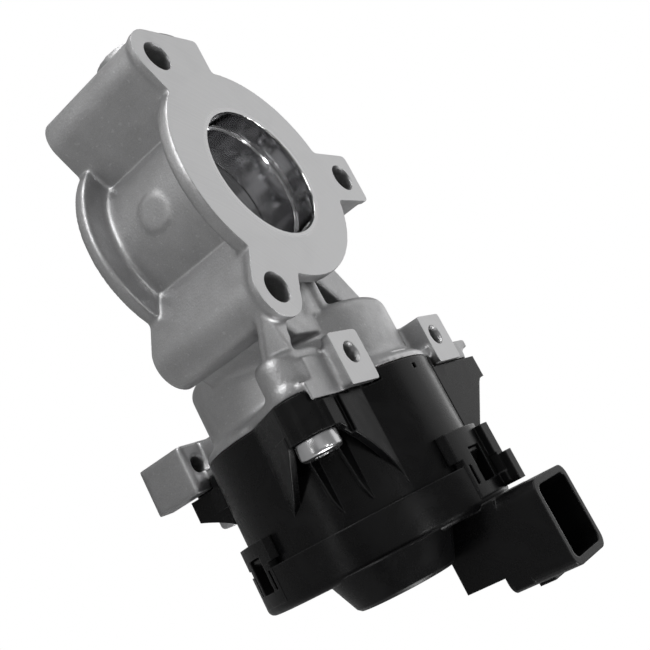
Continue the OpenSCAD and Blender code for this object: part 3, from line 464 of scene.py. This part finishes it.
def add_piece(name, meshes, material, body, smooth=0.7, replaces=()):
    """Joins meshes to one piece that rides on a body, with soft shading below the given angle."""
    joined = bmesh.new()
    for mesh in meshes:
        joined.from_mesh(mesh)
        bpy.data.meshes.remove(mesh)
    bmesh.ops.recalc_face_normals(joined, faces=joined.faces)
    for face in joined.faces:
        face.smooth = True
    for edge in joined.edges:
        if len(edge.link_faces) == 2:
            one, other = (milled_face(face) for face in edge.link_faces)
            edge.smooth = edge.calc_face_angle(0.0) <= smooth and one == other
    mesh = bpy.data.meshes.new(name)
    joined.to_mesh(mesh)
    joined.free()
    mesh.materials.append(material)
    piece = bpy.data.objects.new(name, mesh)
    bpy.context.scene.collection.objects.link(piece)
    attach(piece, body)
    for node in replaces:
        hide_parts(node)
    return piece


def turned(profile, y, z, around=64, radius_share=None):
    """Surface of revolution about an axis along X at (y, z): profile is a list of (x, radius), and a point is
    (x, y + radius cos a, z + radius sin a). radius_share may be an array of rings by angles that multiplies
    the radius, for lobes."""
    profile = np.asarray(profile, float)
    angle = np.linspace(0, 2 * math.pi, around, endpoint=False)
    radius = profile[:, 1][:, None] * np.ones(around)[None, :]
    if radius_share is not None:
        radius = radius * radius_share
    x = profile[:, 0][:, None] * np.ones(around)[None, :]
    return np.stack([x, y + radius * np.cos(angle), z + radius * np.sin(angle)], -1) * MM


# Materials
def cast_aluminium(settings):
    """Die-cast skin, with milled faces where the source has its machined planes and bores."""
    material, tree, shader, place = new_material("cast_aluminium")
    x, _, z = put(tree, "ShaderNodeSeparateXYZ", Vector=place).outputs
    # narrow edges near the milled faces, wide ones elsewhere
    near_face = maths(tree, "MAXIMUM", ramp_mm(tree, z, -1.6, -0.9),
                      ramp_mm(tree, z, REAR_Z + 1.4, REAR_Z + 0.8))
    near_face = maths(tree, "MAXIMUM", near_face, ramp_mm(tree, x, JOINT_X - 1.1, JOINT_X - 0.5))
    edges = use_group(tree, shared("Soft edges", soft_edges),
                      Radius=blend_value(tree, near_face, settings.rounding, 0.22 * MM))
    skin = use_group(tree, shared("Cast skin", cast_skin), Vector=place, Grain=settings.grain)
    from_cutter = vector_step(tree, "SUBTRACT", place, CUTTER_CENTRE).outputs[0]
    marks = use_group(tree, shared("Tool marks", tool_marks), Pitch=0.22 * MM,
                      Vector=vector_step(tree, "MULTIPLY", from_cutter, FLAT_Z).outputs[0])
    wear = use_group(tree, shared("Handling wear", handling_wear), Vector=place)
    # masks of the milled faces, each from a place and the way that the surface faces
    normal = tree.nodes.new("ShaderNodeNewGeometry").outputs["Normal"]
    facing_x, _, facing_z = put(tree, "ShaderNodeSeparateXYZ", Vector=normal).outputs
    towards_front = ramp(tree, facing_z, 0.8, 0.95)
    front = maths(tree, "MULTIPLY", ramp_mm(tree, z, -0.2, -0.1), towards_front)
    rear = maths(tree, "MULTIPLY", ramp_mm(tree, z, REAR_Z + 0.2, REAR_Z + 0.1),
                 ramp(tree, facing_z, -0.8, -0.95))
    mating = maths(tree, "MULTIPLY", ramp_mm(tree, x, JOINT_X - 0.1, JOINT_X - 0.05),
                   ramp(tree, facing_x, 0.8, 0.95))
    at_lug = maths(tree, "MULTIPLY", ramp_mm(tree, z, LUG_Z - 0.05, LUG_Z),
                   ramp_mm(tree, z, LUG_Z + 0.1, LUG_Z + 0.05))
    lower = maths(tree, "MULTIPLY", at_lug, towards_front)
    flat = vector_step(tree, "MULTIPLY", place, FLAT_Z).outputs[0]
    away = vector_step(tree, "LENGTH", flat).outputs["Value"]
    bore = ramp_mm(tree, away, SEAT_R + 0.3, SEAT_R)
    machined = front
    for mask in (rear, mating, lower, bore):
        machined = maths(tree, "MAXIMUM", machined, mask)
    cast_tone = maths(tree, "ADD", 0.86, maths(tree, "MULTIPLY", skin.outputs["Tone"], 0.26))
    cast_tone = maths(tree, "SUBTRACT", cast_tone, maths(tree, "MULTIPLY", skin.outputs["Flow"], 0.04))
    cast_tone = maths(tree, "ADD", cast_tone, maths(tree, "MULTIPLY", wear.outputs["Speck"], 0.16))
    milled_tone = maths(tree, "ADD", 0.95, maths(tree, "MULTIPLY", marks.outputs["Cut"], 0.10))
    base = blend_colour(tree, machined, toned(tree, settings.colour, cast_tone),
                        toned(tree, settings.machined, milled_tone))
    # painted highlight: the edges are blended towards a light colour where light would glint on the rounding
    painted_highlight = maths(tree, "MULTIPLY", edges.outputs["Edge"], 0.25)
    base = blend_colour(tree, painted_highlight, base, EDGE_HIGHLIGHT_CASTING)
    tree.links.new(base, shader.inputs["Base Color"])
    shader.inputs["Metallic"].default_value = 1.0
    cast_rough = maths(tree, "ADD", 0.43, maths(tree, "MULTIPLY", skin.outputs["Flow"], 0.05))
    milled_rough = maths(tree, "ADD", 0.34, maths(tree, "MULTIPLY", wear.outputs["Smear"], 0.05))
    milled_rough = blend_value(tree, bore, milled_rough, 0.12)
    rough = blend_value(tree, machined, cast_rough, milled_rough)
    rough = maths(tree, "SUBTRACT", rough, maths(tree, "MULTIPLY", edges.outputs["Edge"], 0.08))
    tree.links.new(rough, shader.inputs["Roughness"])
    cuts = maths(tree, "MULTIPLY", marks.outputs["Cut"], 0.06)
    height = blend_value(tree, machined, skin.outputs["Height"], cuts)
    raised(tree, shader, height, edges, 0.7, 0.00009)
    return material


def black_plastic(settings):
    """Moulded black plastic: fine spark-eroded grain, soft moulded edges with a painted highlight, faint
    smears.
    """
    material, tree, shader, place = new_material("black_plastic")
    edges = use_group(tree, shared("Soft edges", soft_edges), Radius=settings.rounding)
    wear = use_group(tree, shared("Handling wear", handling_wear), Vector=place)
    grain = put(tree, "ShaderNodeTexNoise", Vector=place, Scale=4200.0, Detail=2.0)
    base = blend_colour(tree, maths(tree, "MULTIPLY", wear.outputs["Smear"], 0.5), colour(settings.colour),
                        tuple(min(1.0, 1.7 * c) for c in settings.colour) + (1.0,))
    # painted highlight: the moulded edges are blended towards a lighter grey, as glints
    painted_highlight = maths(tree, "MULTIPLY", edges.outputs["Edge"], 0.6)
    base = blend_colour(tree, painted_highlight, base, EDGE_HIGHLIGHT_PLASTIC)
    tree.links.new(base, shader.inputs["Base Color"])
    rough = maths(tree, "ADD", settings.roughness, maths(tree, "MULTIPLY", wear.outputs["Smear"], 0.12))
    uneven = maths(tree, "MULTIPLY", maths(tree, "SUBTRACT", grain.outputs[0], 0.5), 0.15)
    rough = maths(tree, "ADD", rough, uneven)
    tree.links.new(rough, shader.inputs["Roughness"])
    shader.inputs["IOR"].default_value = 1.45
    shader.inputs["Specular IOR Level"].default_value = 0.28
    raised(tree, shader, grain.outputs[0], edges, 0.35, 0.00002)
    return material


def turned_steel(name, tone, roughness, axis, rounding=0.0002, pitch=0.00018):
    """Steel turned about the X or Z axis: rings of tool marks, faint smears, painted highlights on the edges.
    """
    material, tree, shader, place = new_material(name)
    edges = use_group(tree, shared("Soft edges", soft_edges), Radius=rounding)
    keep, along = (FLAT_X, (1.0, 0.0, 0.0)) if axis == "X" else (FLAT_Z, (0.0, 0.0, 1.0))
    length = vector_step(tree, "DOT_PRODUCT", place, along).outputs["Value"]
    flat = vector_step(tree, "MULTIPLY", place, keep).outputs[0]
    marks = use_group(tree, shared("Tool marks", tool_marks), Vector=flat, Pitch=pitch)
    rings = put(tree, "ShaderNodeTexNoise", {"noise_dimensions": "1D"},
                W=maths(tree, "DIVIDE", length, pitch), Scale=1.0, Detail=2.0).outputs[0]
    both = maths(tree, "MULTIPLY", maths(tree, "ADD", rings, marks.outputs["Cut"]), 0.5)
    wear = use_group(tree, shared("Handling wear", handling_wear), Vector=place)
    shade = maths(tree, "ADD", 0.90, maths(tree, "MULTIPLY", both, 0.2))
    # painted highlight: the edges are blended towards a near-white steel colour
    painted_highlight = maths(tree, "MULTIPLY", edges.outputs["Edge"], 0.4)
    base = blend_colour(tree, painted_highlight, toned(tree, tone, shade), EDGE_HIGHLIGHT_STEEL)
    tree.links.new(base, shader.inputs["Base Color"])
    shader.inputs["Metallic"].default_value = 1.0
    rough = maths(tree, "ADD", roughness, maths(tree, "MULTIPLY", wear.outputs["Smear"], 0.08))
    tree.links.new(rough, shader.inputs["Roughness"])
    raised(tree, shader, both, edges, 0.6, 0.00001)
    return material


def plain_finish(name, tone, roughness, metallic=0.0, grain=2500.0, depth=0.00001):
    """Simple material with grain, tone changes and soft edges, for seals, magnets, gears and the like."""
    material, tree, shader, place = new_material(name)
    edges = use_group(tree, shared("Soft edges", soft_edges), Radius=0.0002)
    wear = use_group(tree, shared("Handling wear", handling_wear), Vector=place)
    noise = put(tree, "ShaderNodeTexNoise", Vector=place, Scale=grain, Detail=2.0).outputs[0]
    shade = maths(tree, "ADD", 0.88, maths(tree, "MULTIPLY", wear.outputs["Smear"], 0.24))
    tree.links.new(toned(tree, tone, shade), shader.inputs["Base Color"])
    shader.inputs["Metallic"].default_value = metallic
    rough = maths(tree, "ADD", roughness, maths(tree, "MULTIPLY", maths(tree, "SUBTRACT", noise, 0.5), 0.2))
    tree.links.new(rough, shader.inputs["Roughness"])
    raised(tree, shader, noise, edges, 0.5, depth)
    return material


# Operators
class EGR_OT_casting(Operator):
    """Gives the aluminium casting its cast and milled surfaces"""
    bl_idname = "egr.casting"
    bl_label = "Aluminium casting"

    def execute(self, context):
        settings = context.scene.egr_casting
        metal = cast_aluminium(settings)
        paint(["valve_housing"], metal)
        mesh = cast_mesh("valve_housing", settings.cell, settings.rounds)
        add_piece("valve_housing_cast", [mesh], metal, "housing", 0.6, ["valve_housing"])
        return {"FINISHED"}


class EGR_OT_shell(Operator):
    """Gives the gear case, the end cover and the motor cap their black plastic"""
    bl_idname = "egr.shell"
    bl_label = "Black plastic shell"

    def execute(self, context):
        paint(["gear_case", "end_cover", "motor_cap"], black_plastic(context.scene.egr_plastic))
        return {"FINISHED"}


class EGR_OT_steel(Operator):
    """Gives the sleeve, flap, shaft, pins and motor can their steel"""
    bl_idname = "egr.steel"
    bl_label = "Steel pieces"

    def execute(self, context):
        steel = context.scene.egr_steel
        tone = tuple(steel.colour)
        paint(["bore_sleeve"], turned_steel("polished_sleeve", (0.56, 0.56, 0.57), 0.09, "Z", 0.0003, 0.0003))
        paint(["valve_flap"], turned_steel("polished_flap", (0.55, 0.55, 0.56), 0.12, "Z", 0.0002, 0.0004))
        paint(["valve_shaft", "gear_pin", "motor_shaft", "shaft_plug", "limiter_sleeves"],
              turned_steel("bright_steel", tone, steel.roughness, "X"))
        paint(["motor_can"], turned_steel("drawn_can", (0.55, 0.55, 0.56), 0.33, "X", 0.0004, 0.0005))
        paint(["spring_lever", "motor_rotor", "flap_screws", "motor_screws"],
              turned_steel("dark_steel", (0.30, 0.30, 0.31), 0.38, "X"))
        return {"FINISHED"}


class EGR_OT_inner(Operator):
    """Gives the bushes, gears, seals, magnets, board and contacts their finishes"""
    bl_idname = "egr.inner"
    bl_label = "Inner pieces"

    def execute(self, context):
        paint(["bush_left", "bush_right"],
              plain_finish("bearing_bronze", (0.50, 0.36, 0.20), 0.42, 1.0, 3000.0, 0.00002))
        paint(["output_gear", "intermediate_gear"],
              plain_finish("gear_plastic", (0.72, 0.69, 0.58), 0.4, 0.0))
        paint(["shaft_seal", "case_seal", "cover_seal"],
              plain_finish("seal_rubber", (0.06, 0.03, 0.028), 0.6))
        paint(["position_magnet", "motor_magnets", "motor_brushes"],
              plain_finish("magnet", (0.09, 0.09, 0.10), 0.48, 0.4, 2600.0, 0.00003))
        paint(["motor_pinion", "connector_pins"],
              plain_finish("contact_brass", (0.78, 0.62, 0.33), 0.25, 1.0))
        paint(["commutator"], plain_finish("copper", (0.70, 0.36, 0.22), 0.3, 1.0))
        paint(["sensor_board"], plain_finish("board_green", (0.03, 0.13, 0.06), 0.35, 0.0))
        return {"FINISHED"}


def screw_head(x0, y, z, recess):
    """Head of a case screw: rings out from the recess floor over the crown, a quarter circle, to the seat.
    Radii of the recess follow r * (1 + 0.17 cos 6a), a rounded six-point star. A row holds x, the radius and
    the share of the star."""
    around = 96
    angle = np.linspace(0, 2 * math.pi, around, endpoint=False)
    star = 1 + 0.17 * np.cos(6 * angle)
    crown = np.linspace(0, math.pi / 2, 9)
    top = x0 + HEAD_HEIGHT
    rows = [(top - recess, 0.4, 0.0), (top - recess, STAR_R, 1.0), (top - 0.25, STAR_R + 0.05, 1.0),
            (top, STAR_MOUTH_R, 0.9), (top, 3.6, 0.0)]
    rows += [(top - HEAD_ROUND * (1 - math.cos(a)), HEAD_R - HEAD_ROUND * (1 - math.sin(a)), 0.0)
             for a in crown]
    rows += [(x0 + 0.5, HEAD_R, 0.0), (x0 + 0.15, HEAD_R - 0.1, 0.0), (x0, HEAD_R - 0.4, 0.0)]
    share = np.array([1 + (star - 1) * row[2] for row in rows])
    return rings_to_mesh("head", turned([row[:2] for row in rows], y, z, around, share))


def screw_thread(x0, x1, y, z, radius, pitch):
    """Threaded shank: radius = r - h * |2 frac(x / pitch - a / 2 pi) - 1|, with a tapered tip."""
    around = 48
    rings_per_turn = 12
    steps = int((x1 - x0) / pitch * rings_per_turn)
    x = np.linspace(x0, x1, steps)
    angle = np.linspace(0, 2 * math.pi, around, endpoint=False)
    phase = (x[:, None] / pitch - angle[None, :] / (2 * math.pi)) % 1.0
    depth = THREAD_HEIGHT * np.abs(2 * phase - 1)
    taper = np.clip((x - x0) / TIP, 0.55, 1.0)[:, None]
    r = (radius - depth) * taper
    grid = np.stack([x[:, None] * np.ones(around), y + r * np.cos(angle), z + r * np.sin(angle)], -1) * MM
    return rings_to_mesh("thread", grid)


class EGR_OT_case_screws(Operator):
    """Makes the three case screws with rounded heads, star drives and threads"""
    bl_idname = "egr.case_screws"
    bl_label = "Case screws"

    def execute(self, context):
        fine = context.scene.egr_fine
        steel = context.scene.egr_steel
        metal = turned_steel("screw_steel", tuple(min(1.0, 1.12 * c) for c in steel.colour), 0.22, "X")
        meshes = []
        for y, z in CASE_SCREWS:
            meshes.append(screw_head(HEAD_X, y, z, fine.recess / MM))
            meshes.append(screw_thread(JOINT_X - SHANK_DEPTH, HEAD_X + 0.2, y, z, SHANK_R,
                                       fine.thread_pitch / MM))
        add_piece("case_screws_detail", meshes, metal, "housing", 0.8, ["case_screws"])
        return {"FINISHED"}


class EGR_OT_return_spring(Operator):
    """Makes the return spring as a coil of round wire"""
    bl_idname = "egr.return_spring"
    bl_label = "Return spring"

    def execute(self, context):
        wire = context.scene.egr_fine.wire / MM
        low, high = (np.array(c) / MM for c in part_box("return_spring"))
        x0, x1 = low[0] + wire, high[0] - wire
        coil = (high[1] - low[1]) / 2 - wire
        # the centre line is a helix about the shaft's axis, whose x grows evenly with its angle; a circle of
        # the wire's radius is carried along it, square to its tangent
        t = np.linspace(0, 1, 321)
        angle = 2 * math.pi * SPRING_TURNS * t
        centre = np.stack([x0 + (x1 - x0) * t, coil * np.cos(angle), SHAFT_Z + coil * np.sin(angle)], -1)
        tangent = np.gradient(centre, axis=0)
        tangent /= np.linalg.norm(tangent, axis=1)[:, None]
        outward = np.stack([np.zeros_like(t), np.cos(angle), np.sin(angle)], -1)
        side = np.cross(tangent, outward)
        a = np.linspace(0, 2 * math.pi, 14, endpoint=False)
        rings = centre[:, None] + wire * (np.cos(a)[None, :, None] * outward[:, None]
                                          + np.sin(a)[None, :, None] * side[:, None])
        metal = turned_steel("spring_steel", (0.36, 0.36, 0.38), 0.30, "X")
        add_piece("return_spring_detail", [rings_to_mesh("coil", rings * MM)], metal, "flap",
                  1.2, ["return_spring"])
        return {"FINISHED"}


def aim(place, target):
    """Turn that points a light's -Z from place to target."""
    return (target - place).to_track_quat("-Z", "Y").to_matrix().to_4x4()


class EGR_OT_studio(Operator):
    """Sets the floor, the room, the lamps and the camera of the photograph"""
    bl_idname = "egr.studio"
    bl_label = "Studio"

    def execute(self, context):
        scene = context.scene
        studio = scene.egr_studio
        scene.view_settings.view_transform = "Standard"
        camera = bpy.data.objects.new("camera", bpy.data.cameras.new("camera"))
        scene.collection.objects.link(camera)
        turn = Matrix((CAMERA_RIGHT, -CAMERA_DOWN, -CAMERA_AHEAD)).transposed().to_4x4()
        camera.matrix_world = Matrix.Translation(CAMERA_PLACE) @ turn
        camera.data.sensor_width = SENSOR_WIDTH
        camera.data.lens = FOCAL / PICTURE_WIDTH * SENSOR_WIDTH
        camera.data.clip_start = 0.01
        camera.data.clip_end = 20.0
        scene.camera = camera
        # direction from the object's middle, then distance, width and height in metres, and power in watts
        key, side = studio.key, studio.side
        lamps = [("panel", FACE_MIRROR, 0.75, 0.95, 0.75, key),
                 ("top", Vector((0.25, -0.35, 0.95)), 0.70, 0.07, 0.07, 0.22 * key),
                 ("top_right", Vector((0.55, 0.10, 0.95)), 0.70, 0.05, 0.16, 0.15 * key),
                 ("high_front", Vector((0.0, -0.7, 0.7)), 0.70, 0.40, 0.40, 0.07 * key),
                 ("front", Vector((0.10, -0.90, -0.10)), 0.70, 0.30, 0.12, 0.22 * key),
                 ("right", Vector((1.0, 0.1, 0.1)), 0.70, 0.40, 0.40, side),
                 ("front_left", Vector((-0.6, -0.8, 0.0)), 0.70, 0.40, 0.40, 0.72 * side),
                 ("left", Vector((-1.0, -0.1, 0.1)), 0.70, 0.40, 0.40, 0.7 * side),
                 ("back", Vector((0.0, 0.9, -0.2)), 0.70, 0.50, 0.50, 0.3 * side)]
        for name, way, distance, width, height, power in lamps:
            lamp = bpy.data.lights.new(name, "AREA")
            lamp.shape = "RECTANGLE"
            lamp.size = width
            lamp.size_y = height
            lamp.energy = power
            holder = bpy.data.objects.new(name, lamp)
            place = MIDDLE + way.normalized() * distance
            holder.matrix_world = Matrix.Translation(place) @ aim(place, MIDDLE)
            scene.collection.objects.link(holder)
        world = bpy.data.worlds.new("room")
        scene.world = world
        world.use_nodes = True
        tree = world.node_tree
        tree.nodes.clear()
        # the camera sees white, the object a room that is brighter overhead
        ahead = tree.nodes.new("ShaderNodeTexCoord").outputs["Generated"]
        up = put(tree, "ShaderNodeSeparateXYZ", Vector=ahead).outputs[2]
        glow = ramp(tree, up, -0.9, 0.9, 0.45 * studio.ambient, 1.6 * studio.ambient)
        room = put(tree, "ShaderNodeBackground", Color=WHITE, Strength=glow)
        paper = put(tree, "ShaderNodeBackground", Color=WHITE, Strength=1.0)
        seen = tree.nodes.new("ShaderNodeLightPath").outputs["Is Camera Ray"]
        mix = put(tree, "ShaderNodeMixShader", i0=seen, i1=room.outputs[0], i2=paper.outputs[0])
        out = tree.nodes.new("ShaderNodeOutputWorld")
        tree.links.new(mix.outputs[0], out.inputs["Surface"])
        self.floor(scene)
        return {"FINISHED"}

    def floor(self, scene):
        """A sheet under the object, white to the camera and grey to the light that falls on it."""
        low = CAD_BOX[0][2] - FLOOR_GAP
        mesh = bpy.data.meshes.new("floor")
        corners = [(MIDDLE.x + sx * FLOOR_HALF, MIDDLE.y + sy * FLOOR_HALF, low) for sx, sy in
                   ((-1, -1), (1, -1), (1, 1), (-1, 1))]
        mesh.from_pydata(corners, [], [(0, 1, 2, 3)])
        material = bpy.data.materials.new("floor")
        material.use_nodes = True
        tree = material.node_tree
        tree.nodes.clear()
        matt = put(tree, "ShaderNodeBsdfDiffuse", Color=colour((FLOOR_GREY, FLOOR_GREY, FLOOR_GREY)))
        glow = put(tree, "ShaderNodeEmission", Color=WHITE, Strength=1.0)
        seen = tree.nodes.new("ShaderNodeLightPath").outputs["Is Camera Ray"]
        mix = put(tree, "ShaderNodeMixShader", i0=seen, i1=matt.outputs[0], i2=glow.outputs[0])
        out = tree.nodes.new("ShaderNodeOutputMaterial")
        tree.links.new(mix.outputs[0], out.inputs["Surface"])
        mesh.materials.append(material)
        floor = bpy.data.objects.new("floor", mesh)
        scene.collection.objects.link(floor)


OPERATORS = [EGR_OT_casting, EGR_OT_shell, EGR_OT_steel, EGR_OT_inner, EGR_OT_case_screws,
             EGR_OT_return_spring, EGR_OT_studio]


class EGR_PT_panel(Panel):
    """Lists the steps that dress the valve"""
    bl_idname = "EGR_PT_panel"
    bl_label = "EGR valve"
    bl_space_type = "VIEW_3D"
    bl_region_type = "UI"
    bl_category = "EGR valve"

    def draw(self, context):
        for operator in OPERATORS:
            self.layout.operator(operator.bl_idname)


GROUPS = [("egr_casting", CastingFinish), ("egr_plastic", PlasticFinish), ("egr_steel", SteelFinish),
          ("egr_fine", FinePieces), ("egr_studio", Studio)]


def register():
    for name, group in GROUPS:
        bpy.utils.register_class(group)
        setattr(bpy.types.Scene, name, PointerProperty(type=group))
    for item in OPERATORS + [EGR_PT_panel]:
        bpy.utils.register_class(item)


def unregister():
    for item in reversed(OPERATORS + [EGR_PT_panel]):
        bpy.utils.unregister_class(item)
    for name, group in reversed(GROUPS):
        delattr(bpy.types.Scene, name)
        bpy.utils.unregister_class(group)


def main():
    register()
    for operator in OPERATORS:
        area, step = operator.bl_idname.split(".")
        getattr(getattr(bpy.ops, area), step)()


if __name__ == "__main__":
    main()
